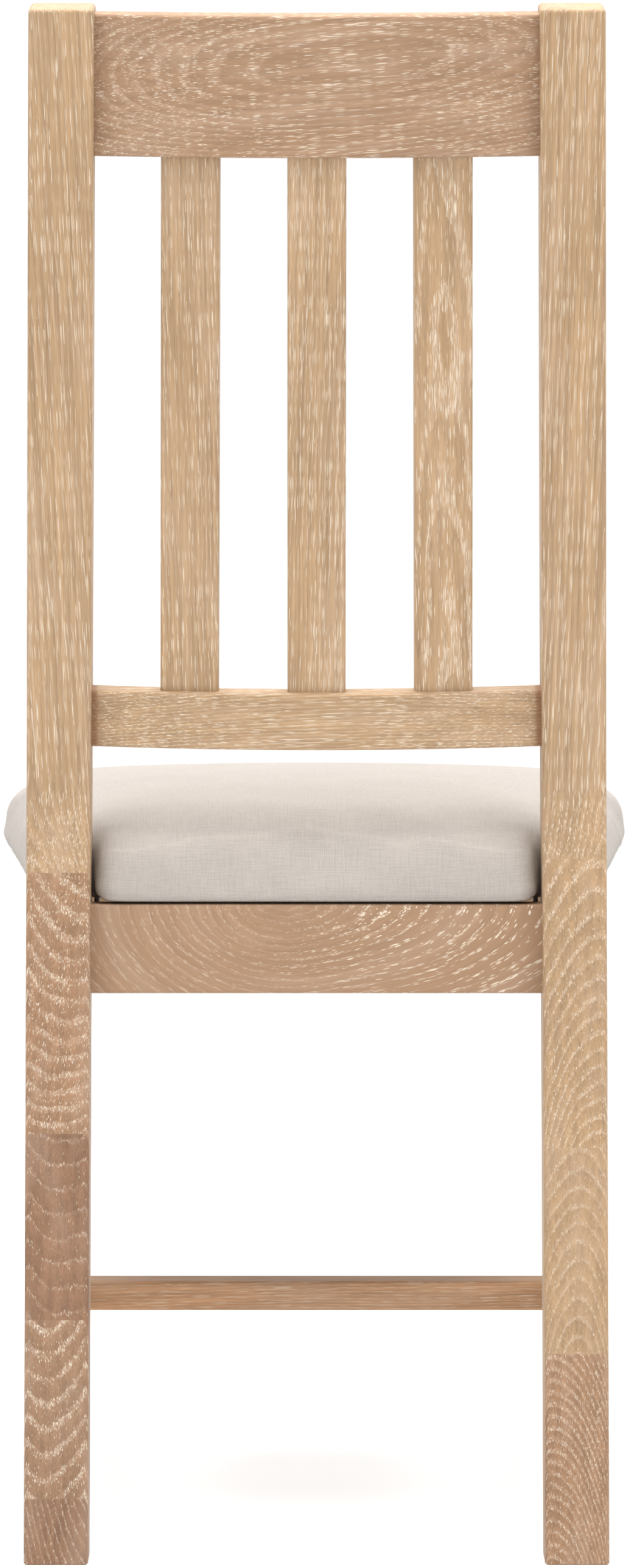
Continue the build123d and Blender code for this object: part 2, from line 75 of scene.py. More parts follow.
# ---------------------------------------------------------------- shader writing
class Graph:
    """A short way to write the nodes of a shader or a node group."""

    def __init__(self, tree):
        self.tree = tree

    def node(self, kind, inputs=None, **settings):
        made = self.tree.nodes.new(kind)
        for name, value in settings.items():
            setattr(made, name, value)
        for name, value in (inputs or {}).items():
            self.feed(made.inputs[name], value)
        return made

    def feed(self, socket, value):
        if isinstance(value, bpy.types.NodeSocket):
            self.tree.links.new(value, socket)
        else:
            socket.default_value = value

    def math(self, operation, a, b=0.0, c=0.0, clamp=False):
        made = self.tree.nodes.new("ShaderNodeMath")
        made.operation = operation
        made.use_clamp = clamp
        for socket, value in zip(made.inputs, (a, b, c)):
            self.feed(socket, value)
        return made.outputs[0]

    def product(self, first, *others):
        for other in others:
            first = self.math("MULTIPLY", first, other)
        return first

    def blend(self, share, a, b):
        """a where share is 1 and b where it is 0."""
        rest = self.math("SUBTRACT", 1.0, share)
        return self.math("ADD", self.product(share, a), self.product(rest, b))

    def vector_math(self, operation, a, b=(0, 0, 0), output="Vector"):
        made = self.tree.nodes.new("ShaderNodeVectorMath")
        made.operation = operation
        self.feed(made.inputs[0], a)
        self.feed(made.inputs[1], b)
        return made.outputs[output]

    def join(self, x, y, z):
        return self.node("ShaderNodeCombineXYZ", {"X": x, "Y": y, "Z": z}).outputs[0]

    def split(self, vector):
        return self.node("ShaderNodeSeparateXYZ", {0: vector}).outputs

    def place(self):
        """Where a point lies, in the frame's metres."""
        return self.node("ShaderNodeTexCoord").outputs["Object"]

    def stretch(self, vector, x, y, z):
        """The vector counted in steps of x, y and z, so that a texture's features get that size."""
        return self.vector_math("MULTIPLY", vector, (1 / x, 1 / y, 1 / z))

    def noise(self, vector, detail=2.0, roughness=0.5, scale=1.0):
        sockets = {"Vector": vector, "Scale": scale, "Detail": detail, "Roughness": roughness}
        return self.node("ShaderNodeTexNoise", sockets).outputs["Fac"]

    def cells(self, vector):
        """Random cells: how far a point is from its cell's middle, and three random numbers per cell."""
        made = self.node("ShaderNodeTexVoronoi", {"Vector": vector, "Scale": 1.0})
        chance = self.node("ShaderNodeSeparateColor", {0: made.outputs["Color"]}).outputs
        return made.outputs["Distance"], chance

    def ramp(self, value, low, high, start=0.0, end=1.0, smooth=True):
        """value going from low to high, mapped to start to end and held there."""
        kind = "SMOOTHSTEP" if smooth else "LINEAR"
        sockets = {"Value": value, "From Min": low, "From Max": high, "To Min": start, "To Max": end}
        return self.node("ShaderNodeMapRange", sockets, interpolation_type=kind).outputs[0]

    def mix(self, share, a, b):
        made = self.node("ShaderNodeMix", data_type="RGBA")
        self.feed(made.inputs[0], share)
        self.feed(made.inputs[6], a)
        self.feed(made.inputs[7], b)
        return made.outputs[2]


# How much brighter than its own colour a surface looks in this studio
STUDIO_LIGHT = 1.42


def seen(red, green, blue):
    """The linear surface colour that looks like these 0 to 255 values under the studio's light."""
    def linear(value):
        value /= 255
        return value / 12.92 if value <= 0.04045 else ((value + 0.055) / 1.055) ** 2.4
    return (*(linear(value) / STUDIO_LIGHT for value in (red, green, blue)), 1.0)


def new_material(name):
    material = bpy.data.materials.new(name)
    material.use_nodes = True
    material.node_tree.nodes.clear()
    graph = Graph(material.node_tree)
    shader = graph.node("ShaderNodeBsdfPrincipled")
    output = graph.node("ShaderNodeOutputMaterial")
    graph.feed(output.inputs["Surface"], shader.outputs[0])
    return material, graph, shader


def new_group(name, inputs, outputs):
    tree = bpy.data.node_groups.new(name, "ShaderNodeTree")
    for label, kind in inputs:
        tree.interface.new_socket(label, in_out="INPUT", socket_type="NodeSocket" + kind)
    for label, kind in outputs:
        tree.interface.new_socket(label, in_out="OUTPUT", socket_type="NodeSocket" + kind)
    graph = Graph(tree)
    return tree, graph, graph.node("NodeGroupInput").outputs, graph.node("NodeGroupOutput").inputs


# ---------------------------------------------------------------- limed oak
LIME = seen(247, 230, 207)
DUST = seen(214, 188, 166)
# Lengths are in millimetres
BOARD = {
    "Start": 0.0,  # radius of the growth ring that the board's face touches
    "Pith": (0.0, 0.0, 0.0),  # the rings go round a line along x through this point
    "Ring": 3.0,  # ring spacing at the radius Start
    "Crowd": 0.0,  # rings added per square millimetre of radius beyond Start
    "Wobble": 5.0,  # how far the rings wander
    "Swing": 110.0,  # over what length along the fibres they do
    "Torn": 0.4,  # how ragged their edges are, in rings
    "Band": 0.3,  # share of a ring that is full of open pores
    "Dense": 0.8,  # share of pores that are open there
    "Sparse": 0.14,  # share of pores that are open elsewhere
    "Dash": 12.0,  # pore length
    "Lime": 1.0,  # how white the pores are
    "Figure": 1.0,  # how strong the light and dark streaks are
    "Seed": 0.0,  # tells one board from the next
}
PORE_WIDTH = 0.4
SEED_STEP = 97.0
SWING_ACROSS = 26
BAND_EDGE = 0.14
RAY_SHARE = 0.13
RAY_DEPTH = 0.2


def ring_phase(g, given, seeded):
    """How far through its growth ring a point is, from 0 to 1."""
    from_pith = g.vector_math("SUBTRACT", given["Grain"], given["Pith"])
    from_pith = g.vector_math("MULTIPLY", from_pith, (0, 1, 1))
    radius = g.math("SUBTRACT", g.vector_math("LENGTH", from_pith, output="Value"), given["Start"])
    swing = g.join(g.math("DIVIDE", 1.0, given["Swing"]), 1 / SWING_ACROSS, 1 / SWING_ACROSS)
    wander = g.math("SUBTRACT", g.noise(g.vector_math("MULTIPLY", seeded, swing)), 0.5)
    torn = g.math("SUBTRACT", g.noise(g.stretch(seeded, 7, 1.2, 1.2), 1.0), 0.5)
    radius = g.math("MULTIPLY_ADD", wander, given["Wobble"], radius)
    rings = g.math("DIVIDE", radius, given["Ring"])
    rings = g.math("MULTIPLY_ADD", g.product(radius, radius), given["Crowd"], rings)
    rings = g.math("MULTIPLY_ADD", torn, given["Torn"], rings)
    return g.math("FRACT", rings)


def pores(g, given, seeded, early):
    """Where a limed pore is, and how white it is."""
    size = g.join(g.math("DIVIDE", 1.0, given["Dash"]), 1 / PORE_WIDTH, 1 / PORE_WIDTH)
    distance, chance = g.cells(g.vector_math("MULTIPLY", seeded, size))
    patch = g.ramp(g.noise(g.stretch(seeded, 55, 13, 13), 3.0), 0.3, 0.66)
    span = g.math("SUBTRACT", given["Dense"], given["Sparse"])
    density = g.math("MULTIPLY_ADD", early, span, given["Sparse"])
    density = g.product(density, g.ramp(patch, 0.0, 1.0, 0.5, 1.3, smooth=False))
    is_open = g.math("LESS_THAN", chance[0], density)
    width = g.ramp(chance[1], 0.0, 1.0, 0.34, 0.8)
    pore = g.math("SUBTRACT", 1.0, g.math("DIVIDE", distance, width), clamp=True)
    pore = g.product(g.ramp(pore, 0.0, 0.45), is_open)
    strength = g.ramp(chance[2], 0.0, 1.0, 0.35, 0.95)
    return pore, g.math("MULTIPLY", g.product(pore, given["Lime"]), strength, clamp=True)


def figure(g, given, seeded, phase, fibre):
    """The board's light and dark streaks, as a factor about 1."""
    streak = g.noise(g.stretch(seeded, 130, 4, 4), 3.0, 0.55)
    cloud = g.noise(g.stretch(seeded, 150, 40, 40))
    distance, chance = g.cells(g.stretch(seeded, 34, 0.8, 0.8))
    ray = g.product(g.ramp(distance, 0.2, 0.45, 1.0, 0.0), g.math("LESS_THAN", chance[0], RAY_SHARE))
    shade = g.product(
        g.ramp(fibre, 0.28, 0.72, 0.74, 1.14, smooth=False),
        g.ramp(streak, 0.3, 0.7, 0.87, 1.11),
        g.ramp(cloud, 0.3, 0.7, 0.95, 1.05),
        g.ramp(phase, 0.35, 0.97, 1.03, 0.94),
        g.math("MULTIPLY_ADD", ray, -RAY_DEPTH, 1.0),
    )
    return g.math("MULTIPLY_ADD", g.math("SUBTRACT", shade, 1.0), given["Figure"], 1.0)


def limed_oak_group():
    """Oak with white-filled pores. Grain is in millimetres: x along the fibres, y and z across them."""
    inputs = [("Grain", "Vector"), ("Wood", "Color")]
    inputs += [(label, "Vector" if label == "Pith" else "Float") for label in BOARD]
    outputs = [("Color", "Color"), ("Roughness", "Float"), ("Height", "Float")]
    tree, g, given, result = new_group("limed_oak", inputs, outputs)
    apart = g.product(given["Seed"], SEED_STEP)
    seeded = g.vector_math("ADD", given["Grain"], g.join(apart, g.product(apart, 0.37), 0.0))
    phase = ring_phase(g, given, seeded)
    past_band = g.math("DIVIDE", g.math("SUBTRACT", phase, given["Band"]), BAND_EDGE)
    early = g.product(g.ramp(phase, 0.0, 0.06), g.ramp(past_band, 0.0, 1.0, 1.0, 0.0))
    pore, white = pores(g, given, seeded, early)
    fibre = g.noise(g.stretch(seeded, 24, 0.55, 0.55), 3.0, 0.62)

    tone = g.vector_math("SCALE", given["Wood"])
    g.feed(tone.node.inputs["Scale"], figure(g, given, seeded, phase, fibre))
    grey = g.noise(g.stretch(seeded, 80, 17, 17))
    haze = g.ramp(g.math("MULTIPLY_ADD", early, 0.16, grey), 0.42, 0.8, 0.0, 0.22)
    matt = g.math("MULTIPLY_ADD", pore, 0.3, fibre)
    g.feed(result["Color"], g.mix(white, g.mix(haze, tone, DUST), LIME))
    g.feed(result["Roughness"], g.ramp(matt, 0.2, 1.0, 0.44, 0.7))
    g.feed(result["Height"], g.math("SUBTRACT", g.product(fibre, 0.3), g.product(pore, 0.5)))
    return tree


OAK = limed_oak_group()


def grain_frame(g, origin, along, across):
    """Where a point lies in a board, in millimetres: along the fibres, across the board and into it."""
    along = along.normalized()
    depth = along.cross(across).normalized()
    across = depth.cross(along)
    place = g.vector_math("SUBTRACT", g.place(), tuple(origin))
    axes = [tuple(axis * 1000) for axis in (along, across, depth)]
    return g.join(*(g.vector_math("DOT_PRODUCT", place, axis, output="Value") for axis in axes))


def oak(node, wood, along=None, across=ACROSS, origin=None, pith=(0, 60), grain=None, tint=None, **settings):
    """Paints a node with limed oak of its own. pith is (across, depth) in millimetres from origin, grain
    takes the place of a straight board's grain, and settings are those in BOARD."""
    material, g, shader = new_material(f"oak_{node}")
    if grain is None:
        vector = grain_frame(g, middle(node) if origin is None else origin, along, across)
        settings = {"Pith": (0, *pith), "Start": hypot(*pith)} | settings
    else:
        vector = grain(g)
    group = g.node("ShaderNodeGroup", node_tree=OAK)
    for label, value in (BOARD | settings | {"Grain": vector, "Wood": wood}).items():
        g.feed(group.inputs[label], value(g, vector) if callable(value) else value)
    colour = group.outputs["Color"]
    if tint is not None:
        colour = tint(g, colour, vector)
    relief = {"Strength": 0.35, "Distance": 0.0004, "Height": group.outputs["Height"]}
    g.feed(shader.inputs["Base Color"], colour)
    g.feed(shader.inputs["Roughness"], group.outputs["Roughness"])
    g.feed(shader.inputs["Normal"], g.node("ShaderNodeBump", relief).outputs[0])
    shader.inputs["Specular IOR Level"].default_value = 0.3
    paint(node, material)


def paint(node, material):
    """Gives a CAD node its finish."""
    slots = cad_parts[node].data.materials
    for index in range(len(slots)):
        slots[index] = material
    if not slots:
        slots.append(material)


def middle(node):
    low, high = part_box(node)
    return (low + high) / 2


def tilted(direction, toward, degrees):
    """direction leaning by some degrees toward another one."""
    return (direction.normalized() + toward.normalized() * tan(radians(degrees))).normalized()


# ---------------------------------------------------------------- the oak boards
TAN = seen(193, 159, 121)
WARM = seen(174, 135, 103)
ROSY = seen(177, 141, 110)
DUSKY = seen(168, 132, 103)
BROWN = seen(157, 119, 92)
AMBER = seen(197, 151, 111)
# Painted shade that the posts cast on the rails' ends: its colour, how far in from the post's face it begins
# and is full, in millimetres, and its strength
END_SHADE = seen(146, 96, 64)
END_SHADE_REACH = (6.5, 3.0)
END_SHADE_STRENGTH = 0.62


def end_shade(g, colour, vector):
    """Painted shade at both ends of a rail, standing in for the shadow that the posts cast on it, reaching
    in from the post's face at seat height.
    """
    ragged = g.math("MULTIPLY_ADD", g.noise(g.stretch(vector, 4, 2, 2)), 2.0, -1.0)
    outward = g.math("MULTIPLY_ADD", g.math("ABSOLUTE", g.split(g.place())[0]), 1000, ragged)
    begins, full = (1000 * POST_FACE_X - reach for reach in END_SHADE_REACH)
    return g.mix(g.ramp(outward, begins, full, 0.0, END_SHADE_STRENGTH), colour, END_SHADE)


def upright(node, lean, pith, dive=0, **settings):
    """A board of the raked back. Its fibres lean sideways and dive out of its face by these degrees."""
    along = tilted(tilted(RAKED_UP, ACROSS, lean), RAKED_REAR, dive)
    oak(node, TAN, along, pith=pith, **settings)


def rail(node, wood, lean, pith, dive=0, **settings):
    """A rail of the back. Its pith is placed from the middle of its top rear edge."""
    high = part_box(node)[1]
    top = Vector((0, high.y, high.z))
    along = tilted(tilted(-ACROSS, RAKED_UP, lean), RAKED_REAR, dive)
    # the rail's ends get painted shade from the posts
    oak(node, wood, along, RAKED_UP, top, pith, tint=end_shade, **settings)


def leg_board(name, wood, lean, pith, **settings):
    """A board glued on behind the lower leg, cut across its rings so that they show as arcs."""
    oak(f"rear_leg_board_{name}", wood, tilted(RAKED_UP, ACROSS, lean), pith=pith, Dash=6, **settings)


def paint_back():
    upright("rear_post_left", 2.5, (35, 60), Ring=2.3, Seed=1, Sparse=0.24, Dense=0.55, Dash=14,
            Swing=160, Torn=0.15)
    upright("rear_post_right", -1.5, (-50, 50), Ring=3.0, Seed=2, Sparse=0.2, Dense=0.65, Dash=15,
            Swing=130, Torn=0.15)
    upright("back_slat_left", 1.5, (50, -34), Ring=2.4, Seed=3, Sparse=0.2, Dense=0.5, Torn=0.2)
    upright("back_slat_centre", -1, (-40, 40), Ring=2.2, Seed=4, Sparse=0.26, Dense=0.6, Torn=0.2)
    upright("back_slat_right", 1, (3, -36), dive=-1.6, Ring=3.2, Seed=5, Wobble=6, Swing=90, Torn=0.2,
            Lime=1.15)
    rail("crest_rail", ROSY, 4, (-34, 50), dive=-1.6, Ring=2.4, Seed=6.4, Wobble=3, Swing=130, Dash=9,
         Torn=0.2, Dense=0.48, Sparse=0.2, Figure=0.75)
    rail("lower_back_rail", TAN, 2, (60, -50), Ring=2.0, Seed=7, Wobble=4, Swing=260, Sparse=0.24,
         Torn=0.15)


def paint_leg_boards():
    leg_board("left_1", WARM, -7, (4, -95), Ring=2.7, Crowd=0.003, Seed=11, Lime=1.1, Wobble=3)
    leg_board("left_2", BROWN, 0, (-6, -90), Ring=3.3, Seed=12, Lime=0.8, Band=0.08, Dense=0.6,
              Sparse=0.03, Wobble=3)
    leg_board("left_3", DUSKY, 0, (5, -48), Ring=3.3, Seed=13, Lime=1.2, Band=0.25, Sparse=0.06, Wobble=3)
    leg_board("left_4", BROWN, 0, (-35, -50), Ring=2.4, Seed=14, Lime=0.7, Band=0.2, Sparse=0.05, Wobble=3)
    leg_board("right_1", TAN, 0, (-19, 70), Ring=2.7, Crowd=-0.003, Seed=15, Band=0.25, Sparse=0.06,
              Wobble=3)
    leg_board("right_2", TAN, 0, (0, 36), Ring=2.5, Seed=16, Lime=0.7, Band=0.2, Sparse=0.05, Wobble=3)
    leg_board("right_3", WARM, 0, (18, 62), Ring=1.6, Seed=17, Lime=0.8, Band=0.35, Wobble=2, Sparse=0.1)


APRON_PITH_X = 0.02
APRON_PITH_RISE = 0.006
# How far the apron's rings are drawn out sideways, away from the pith on the left and on the right of it
APRON_WIDENING = (1.4, 2.3)
APRON_FIBRE_RADIUS = 55.0


def apron_grain(g):
    """Rings seen nearly end on: round a point by the rear apron's top edge, with fibres following them."""
    pith = (APRON_PITH_X, APRON_CORNER.y, SEAT_BASE_Z + APRON_PITH_RISE)
    from_pith = g.vector_math("SUBTRACT", g.place(), pith)
    x, y, z = g.split(g.vector_math("MULTIPLY", from_pith, (-1000, 1000, 1000)))
    left, right = APRON_WIDENING
    wide = g.product(x, g.ramp(x, -60.0, 110.0, 1 / left, 1 / right))
    radius = g.vector_math("LENGTH", g.join(wide, 0.0, z), output="Value")
    angle = g.math("ARCTAN2", wide, g.product(z, -1.0))
    return g.join(g.product(angle, APRON_FIBRE_RADIUS), radius, y)


def apron_lime(g, vector):
    """Lime is faint round the pith and strongest in the far arcs on the right."""
    along, radius, _ = g.split(vector)
    return g.product(g.ramp(radius, 8.0, 30.0, 0.3, 1.0), g.ramp(along, -10.0, 65.0, 0.45, 1.6))


def paint_seat_frame():
    oak("rear_apron", ROSY, grain=apron_grain, Ring=4.6, Seed=21, Wobble=5, Swing=45, Band=0.2, Figure=0.5,
        Lime=apron_lime, Sparse=0.08, Dash=2.4, Torn=0.8)
    oak("front_apron", TAN, ACROSS, UP, pith=(10, 70), Seed=22)
    for side, sign in (("left", 1), ("right", -1)):
        along = Vector((sign * 0.05, -1, 0))
        oak(f"side_apron_{side}", WARM, along, UP, pith=(14, sign * 50), Ring=2.8, Seed=23 + sign)
        oak(f"side_stretcher_{side}", WARM, along, UP, pith=(34, sign * 50), Ring=2.4, Seed=26 + sign)
        oak(f"front_leg_{side}", TAN, tilted(UP, ACROSS, 1.2), pith=(sign * 50, 34), Seed=29 + sign)
    oak("cross_stretcher", AMBER, tilted(-ACROSS, UP, 1), UP, pith=(48, 40), Ring=2.0, Seed=32, Lime=0.5,
        Dash=14)


# ---------------------------------------------------------------- plain hidden woods, metal and foam
def raw_wood(name, colour, along):
    """Unfinished wood for what is under the seat."""
    material, g, shader = new_material(name)
    place = grain_frame(g, Vector((0, 0, 0)), along, UP)
    fibre = g.noise(g.stretch(place, 30, 0.9, 0.9), 3.0, 0.6)
    band = g.noise(g.stretch(place, 140, 6, 6))
    shade = g.product(g.ramp(fibre, 0.3, 0.7, 0.82, 1.08), g.ramp(band, 0.3, 0.7, 0.9, 1.08))
    tone = g.node("ShaderNodeHueSaturation", {"Value": shade, "Color": colour})
    bump = g.node("ShaderNodeBump", {"Strength": 0.4, "Distance": 0.0005, "Height": fibre})
    g.feed(shader.inputs["Base Color"], tone.outputs[0])
    g.feed(shader.inputs["Roughness"], g.ramp(fibre, 0.2, 0.8, 0.6, 0.8))
    g.feed(shader.inputs["Normal"], bump.outputs[0])
    return material


TARNISH = seen(150, 146, 138)
TARNISH_SCALE = 900.0
TARNISH_ROUGHER = 0.25


def metal(name, colour, rough):
    """Plated steel with a little tarnish."""
    material, g, shader = new_material(name)
    spots = g.noise(g.place(), 3.0, 0.6, TARNISH_SCALE)
    g.feed(shader.inputs["Base Color"], g.mix(g.ramp(spots, 0.35, 0.75), colour, TARNISH))
    g.feed(shader.inputs["Roughness"], g.ramp(spots, 0.3, 0.8, rough, rough + TARNISH_ROUGHER))
    shader.inputs["Metallic"].default_value = 1.0
    return material


def foam():
    material, g, shader = new_material("seat_foam")
    holes = g.node("ShaderNodeTexVoronoi", {"Vector": g.place(), "Scale": 700.0}).outputs["Distance"]
    bump = g.node("ShaderNodeBump", {"Strength": 0.6, "Distance": 0.0006, "Height": holes})
    # darker in the foam's holes: painted shade in its pits
    tone = g.mix(g.ramp(holes, 0.1, 0.6), seen(188, 178, 140), seen(232, 224, 190))
    g.feed(shader.inputs["Base Color"], tone)
    g.feed(shader.inputs["Normal"], bump.outputs[0])
    shader.inputs["Roughness"].default_value = 0.9
    return material


def paint_hidden():
    block = raw_wood("sawn_block", seen(196, 160, 118), ACROSS)
    for corner in ("front", "rear"):
        for side in ("left", "right"):
            paint(f"corner_block_{corner}_{side}", block)
    paint("seat_board", raw_wood("birch_ply", seen(214, 182, 140), FRONT))
    paint("apron_dowels", raw_wood("beech_dowel", seen(216, 178, 134), ACROSS))
    zinc = metal("zinc_plate", seen(200, 200, 196), 0.28)
    paint("corner_block_screws", zinc)
    paint("seat_fixing_screws", zinc)
    paint("cover_staples", metal("staple_wire", seen(206, 206, 208), 0.25))
    paint("seat_foam", foam())


# ---------------------------------------------------------------- woven cloth
WARP_PITCH = 0.72
WEFT_PITCH = 0.66
SLUB_LENGTH = 16.0
YARN_WANDER = 1.3
BEIGE = seen(216, 207, 199)


def weave_group():
    """A plain weave of thick and thin yarns on a plane. Plane is in millimetres."""
    outputs = [("Height", "Float"), ("Tone", "Float")]
    tree, g, given, result = new_group("weave", [("Plane", "Vector")], outputs)
    bend = g.noise(g.stretch(given["Plane"], 9, 9, 9))
    wander = g.product(g.math("SUBTRACT", bend, 0.5), YARN_WANDER)
    x, y, _ = g.split(given["Plane"])
    x = g.math("ADD", x, wander)
    y = g.math("SUBTRACT", y, wander)
    warp = g.product(x, pi / WARP_PITCH)
    weft = g.product(y, pi / WEFT_PITCH)
    warp_up = g.ramp(g.product(g.math("SINE", warp), g.math("SINE", weft)), -0.35, 0.35)
    up_yarn, across_yarn = (
        g.math("ABSOLUTE", g.math("SINE", g.math("ADD", angle, pi / 2))) for angle in (warp, weft)
    )
    height = g.blend(warp_up, up_yarn, across_yarn)
    slub_up = g.join(g.math("DIVIDE", x, WARP_PITCH), g.math("DIVIDE", y, SLUB_LENGTH), 0.0)
    slub_across = g.join(g.math("DIVIDE", x, SLUB_LENGTH), g.math("DIVIDE", y, WEFT_PITCH), 7.0)
    slub = g.blend(warp_up, g.noise(slub_up, 1.0), g.noise(slub_across, 1.0))
    g.feed(result["Height"], g.product(height, g.ramp(slub, 0.3, 0.7, 0.6, 1.15)))
    g.feed(result["Tone"], slub)
    return tree


def weave_all_round(g, place):
    """The weave's height and tone, laid on each face from the side that the face looks to."""
    tree = weave_group()
    x, y, z = g.split(place)
    layers = []
    for plane in (g.join(x, y, 0.0), g.join(x, z, 0.0), g.join(y, z, 0.0)):
        layers.append(g.node("ShaderNodeGroup", node_tree=tree))
        g.feed(layers[-1].inputs["Plane"], plane)
    facing = g.node("ShaderNodeTexCoord").outputs["Normal"]
    face_x, face_y, face_z = g.split(g.vector_math("ABSOLUTE", facing))
    to_rear = g.ramp(g.math("SUBTRACT", face_y, face_z), -0.12, 0.12)
    to_side = g.ramp(g.math("SUBTRACT", face_x, g.math("MAXIMUM", face_y, face_z)), -0.12, 0.12)
    blended = []
    for output in ("Height", "Tone"):
        top, rear, side = (layer.outputs[output] for layer in layers)
        flat = g.node("ShaderNodeMix", {0: to_rear, 2: top, 3: rear})
        blended.append(g.node("ShaderNodeMix", {0: to_side, 2: flat.outputs[0], 3: side}).outputs[0])
    return blended


def linen(name):
    """Beige linen-like cloth."""
    material, g, shader = new_material(name)
    place = g.vector_math("MULTIPLY", g.place(), (1000, 1000, 1000))
    height, tone = weave_all_round(g, place)
    fluff = g.noise(g.stretch(place, 0.5, 0.5, 0.5))
    cloud = g.noise(g.stretch(place, 60, 60, 60))
    shade = g.product(
        g.ramp(tone, 0.28, 0.72, 0.9, 1.05),
        g.ramp(cloud, 0.3, 0.7, 0.98, 1.02),
        # darker where the weave is low: painted shade between the yarns
        g.ramp(height, 0.1, 0.75, 0.8, 1.03),
        g.ramp(fluff, 0.3, 0.7, 0.95, 1.03),
    )
    colour = g.node("ShaderNodeHueSaturation", {"Value": shade, "Color": BEIGE})
    relief = g.math("ADD", height, g.product(fluff, 0.3))
    bump = g.node("ShaderNodeBump", {"Strength": 0.75, "Distance": 0.0005, "Height": relief})
    g.feed(shader.inputs["Base Color"], colour.outputs[0])
    g.feed(shader.inputs["Normal"], bump.outputs[0])
    shader.inputs["Roughness"].default_value = 0.92
    shader.inputs["Specular IOR Level"].default_value = 0.15
    shader.inputs["Sheen Weight"].default_value = 0.12
    return material


# ---------------------------------------------------------------- the seat cushion
VOXEL = 0.005
# The cushion before it is blown up: the rise above the seat frame, and how far the outline draws in there
# at the sides and front, at the rear, and round the notches for the posts.
CUSHION_LAYERS = (
    (0.0008, 0.0070, 0.0020, 0.0030),
    (0.0030, 0.0045, 0.0008, 0.0012),
    (0.0075, 0.0022, 0.0000, 0.0003),
    (0.0130, 0.0006, 0.0000, 0.0000),
    (0.0200, 0.0000, 0.0010, 0.0000),
    (0.0270, 0.0012, 0.0036, 0.0000),
    (0.0330, 0.0045, 0.0078, 0.0000),
    (0.0390, 0.0120, 0.0145, 0.0006),
    (0.0435, 0.0240, 0.0230, 0.0018),
    (0.0472, 0.0450, 0.0350, 0.0060),
    (0.0500, 0.0800, 0.0500, 0.0200),
)
# The full outline, as steps from the posts, the notches' faces and the CAD cover
TONGUE_GAP = 0.0025
NOTCH_GAP = 0.002
SHOULDER_INSET = 0.001
FRONT_FLARE = 0.0105
REAR_BULGE = 0.0025
TONGUE_RADIUS = 0.012
NOTCH_RADIUS = 0.004
SHOULDER_RADIUS = 0.016
FRONT_RADIUS = 0.048
LEAST_RADIUS = 0.003
LEAST_FRONT_RADIUS = 0.004
ARC_POINTS = 7
# The dome on top: its height, the share of the cushion's height where it begins, and its fall front to rear
CUSHION_CROWN = 0.0098
CROWN_START = 0.4
CROWN_FALL = 0.7
# The cloth, with the height that is held, how far a point may move, and where smoothing begins
CLOTH = {
    "quality": 5, "mass": 0.3, "tension_stiffness": 25, "compression_stiffness": 25, "shear_stiffness": 10,
    "bending_stiffness": 6, "use_pressure": True, "uniform_pressure_force": 4.0, "shrink_min": -0.01,
}
CUSHION_FRAMES = 16
CUSHION_HELD = 0.006
CUSHION_REACH = 0.007
CUSHION_SOFT = 0.012
# What the finished cushion keeps off the seat frame, the posts' inner faces and their front faces
BASE_CLEARANCE = 0.0006
POST_CLEARANCE = 0.0012
NOTCH_CLEARANCE = 0.0010


def cushion_corners(side, rear, notch):
    """Plan corners (x, y, radius) of the cushion's left half, drawn in from its full size."""
    low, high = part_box("seat_cover")
    tongue_x = POST_FACE_X - TONGUE_GAP - notch
    notch_y = POST_FRONT_Y - NOTCH_GAP - notch
    shoulder_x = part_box("rear_post_left")[1].x - SHOULDER_INSET - side
    front_x = high.x + FRONT_FLARE - side
    return (
        (tongue_x, high.y + REAR_BULGE - rear, max(TONGUE_RADIUS - rear, LEAST_RADIUS)),
        (tongue_x, notch_y, NOTCH_RADIUS),
        (shoulder_x, notch_y, max(SHOULDER_RADIUS - side, LEAST_RADIUS)),
        (front_x, low.y + side, max(FRONT_RADIUS - side, LEAST_FRONT_RADIUS)),
    )


def rounded_outline(corners):
    """Points round the whole outline, mirrored about x = 0, with an arc at each corner."""
    whole = list(corners) + [(-x, y, radius) for x, y, radius in reversed(corners)]
    places = [Vector((x, y)) for x, y, _ in whole]
    points = []
    for i, (_, _, radius) in enumerate(whole):
        before = (places[i - 1] - places[i]).normalized()
        after = (places[(i + 1) % len(whole)] - places[i]).normalized()
        half_angle = before.angle(after) / 2
        centre = places[i] + (before + after).normalized() * (radius / sin(half_angle))
        reach = radius / tan(half_angle)
        first = places[i] + before * reach - centre
        last = places[i] + after * reach - centre
        start = atan2(first.y, first.x)
        turn = (atan2(last.y, last.x) - start + pi) % (2 * pi) - pi
        for step in range(ARC_POINTS):
            angle = start + turn * step / (ARC_POINTS - 1)
            points.append(centre + Vector((cos(angle), sin(angle))) * radius)
    return points


def cushion_form():
    """The cushion before it is blown up: stacked outlines that draw in towards the top and the bottom."""
    bm = bmesh.new()
    rings = []
    for rise, *insets in CUSHION_LAYERS:
        outline = rounded_outline(cushion_corners(*insets))
        rings.append([bm.verts.new((point.x, point.y, SEAT_BASE_Z + rise)) for point in outline])
    for lower, upper in zip(rings, rings[1:]):
        for i in range(len(lower)):
            j = (i + 1) % len(lower)
            bm.faces.new((lower[i], lower[j], upper[j], upper[i]))
    bm.faces.new(rings[0][::-1])
    bm.faces.new(rings[-1])
    bmesh.ops.recalc_face_normals(bm, faces=bm.faces)
    mesh = bpy.data.meshes.new("seat_cushion")
    bm.to_mesh(mesh)
    bm.free()
    piece = bpy.data.objects.new("seat_cushion", mesh)
    bpy.context.scene.collection.objects.link(piece)
    return piece


def apply_modifiers(piece):
    """Replaces a piece's mesh with what its modifiers make of it."""
    graph = bpy.context.evaluated_depsgraph_get()
    shown = bpy.data.meshes.new_from_object(piece.evaluated_get(graph))
    old = piece.data
    piece.modifiers.clear()
    piece.data = shown
    bpy.data.meshes.remove(old)


